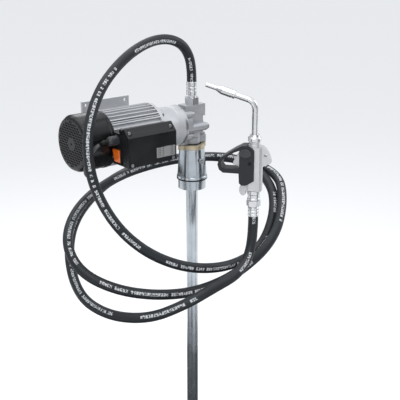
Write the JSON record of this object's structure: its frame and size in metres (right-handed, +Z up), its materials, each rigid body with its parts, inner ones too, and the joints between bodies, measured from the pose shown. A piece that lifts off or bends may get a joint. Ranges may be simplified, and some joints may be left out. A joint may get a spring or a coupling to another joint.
{
  "type": "drum barrel pump",
  "caption": "Electric gear pump on a bung connector with suction tube, terminal box, delivery hose and trigger nozzle, for emptying oil drums.",
  "frame": {"origin": "centre of the bung thread at the drum-top seating plane", "axes": "+Z up along the bung axis, +X along the motor shaft from the fan towards the pump, +Y to the back, away from the terminal box"},
  "size_m": [0.5272, 0.4035, 1.1746],
  "materials": {
    "zinc_steel": "satin",
    "yellow_zinc": "satin",
    "steel": "satin",
    "bright_steel": "polished",
    "cast_aluminium": "satin",
    "pump_cast_iron": "satin",
    "sintered_steel": "matte",
    "black_gloss": "gloss",
    "black_matte": "matte",
    "charcoal": "satin",
    "orange": "gloss",
    "nozzle_aluminium": "satin",
    "seal_rubber": "matte",
    "hose_rubber": "matte",
    "cable_rubber": "satin",
    "copper": "satin",
    "label": "satin",
    "nylon": "matte"
  },
  "bodies": {
    "frame": {"bung_connector": "zinc_steel", "connector_seal": "seal_rubber", "clamp_screw": "steel", "lug_flange": "yellow_zinc", "flange_gasket": "seal_rubber", "inlet_flange": "pump_cast_iron", "flange_bolts": "steel", "suction_tube": "zinc_steel", "foot_valve_body": "black_matte", "foot_strainer": "black_matte", "pump_body": "pump_cast_iron", "pump_plate": "steel", "shaft_seal": "seal_rubber", "pump_screws": "steel", "bypass_spring": "steel", "bypass_cap": "steel", "outlet_nut": "bright_steel", "hose_ferrule_pump": "bright_steel", "lantern": "cast_aluminium", "motor_housing": "cast_aluminium", "top_rail": "cast_aluminium", "bottom_rail": "cast_aluminium", "stator_core": "sintered_steel", "stator_windings": "copper", "rear_shield": "cast_aluminium", "motor_bearings": "steel", "tie_bolts": "steel", "fan_cover": "black_gloss", "fan_cover_screws": "steel", "terminal_box_base": "black_gloss", "terminal_box_lid": "black_gloss", "terminal_box_screws": "steel", "switch_body": "black_matte", "cable_gland": "charcoal", "rating_label": "label", "hose_ferrule_nozzle": "bright_steel", "swivel_connector": "bright_steel", "delivery_hose": "hose_rubber", "mains_cable": "cable_rubber", "cable_coil": "cable_rubber", "mains_plug": "black_matte"},
    "nozzle": {"nozzle_body": "nozzle_aluminium", "grip_guard": "charcoal", "trigger_pin": "steel", "valve_plug": "steel", "valve_spring": "steel", "spout_nut": "bright_steel", "spout_tube": "bright_steel"},
    "trigger": {"trigger": "nozzle_aluminium"},
    "valve_stem": {"valve_stem": "steel"},
    "tip": {"tip_sleeve": "bright_steel", "tip_spout": "bright_steel"},
    "rotor": {"motor_shaft": "steel", "rotor_core": "sintered_steel", "fan": "black_matte", "inner_rotor": "sintered_steel"},
    "gear_ring": {"outer_rotor": "sintered_steel"},
    "bypass_poppet": {"bypass_poppet": "steel"},
    "rocker": {"switch_rocker": "orange"},
    "foot_disc": {"foot_valve_disc": "nylon"}
  },
  "joints": [
    {"name": "rotor_spin", "type": "hinge", "parent": "frame", "child": "rotor", "pos_m": [-0.18, 0, 0.125], "axis": [1, 0, 0], "continuous": true},
    {"name": "ring_spin", "type": "hinge", "parent": "frame", "child": "gear_ring", "pos_m": [-0.032, 0, 0.127], "axis": [1, 0, 0], "continuous": true},
    {"name": "bypass_slide", "type": "slide", "parent": "frame", "child": "bypass_poppet", "axis": [1, 0, 0], "range_m": [0, 0.004], "stiffness_N_per_m": 2000, "springref_m": -0.002, "deforming": ["bypass_spring"]},
    {"name": "rocker_tilt", "type": "hinge", "parent": "frame", "child": "rocker", "pos_m": [-0.238, -0.073, 0.107], "axis": [0, 1, 0], "range_deg": [0, 14]},
    {"name": "nozzle_swivel", "type": "hinge", "parent": "frame", "child": "nozzle", "pos_m": [-0.004, -0.206, 0.03], "axis": [0, 0, 1], "continuous": true},
    {"name": "trigger_pull", "type": "hinge", "parent": "nozzle", "child": "trigger", "pos_m": [-0.0157, -0.19103, 0.101], "axis": [-0.788, -0.6157, 0], "range_deg": [0, 10], "stiffness_Nm_per_rad": 3, "springref_deg": -5.73},
    {"name": "stem_slide", "type": "slide", "parent": "nozzle", "child": "valve_stem", "axis": [0.6157, -0.788, 0], "range_m": [0, 0.0069], "deforming": ["valve_spring"]},
    {"name": "tip_twist", "type": "hinge", "parent": "nozzle", "child": "tip", "pos_m": [-0.03933, -0.16079, 0.22154], "axis": [-0.5888, 0.7536, 0.2924], "range_deg": [0, 90]},
    {"name": "foot_valve_lift", "type": "slide", "parent": "frame", "child": "foot_disc", "axis": [0, 0, 1], "range_m": [0, 0.006]}
  ],
  "couplings": [
    {"joint": "ring_spin", "follows": "rotor_spin", "ratio": 0.85714},
    {"joint": "stem_slide", "follows": "trigger_pull", "m_per_rad": 0.039}
  ]
}
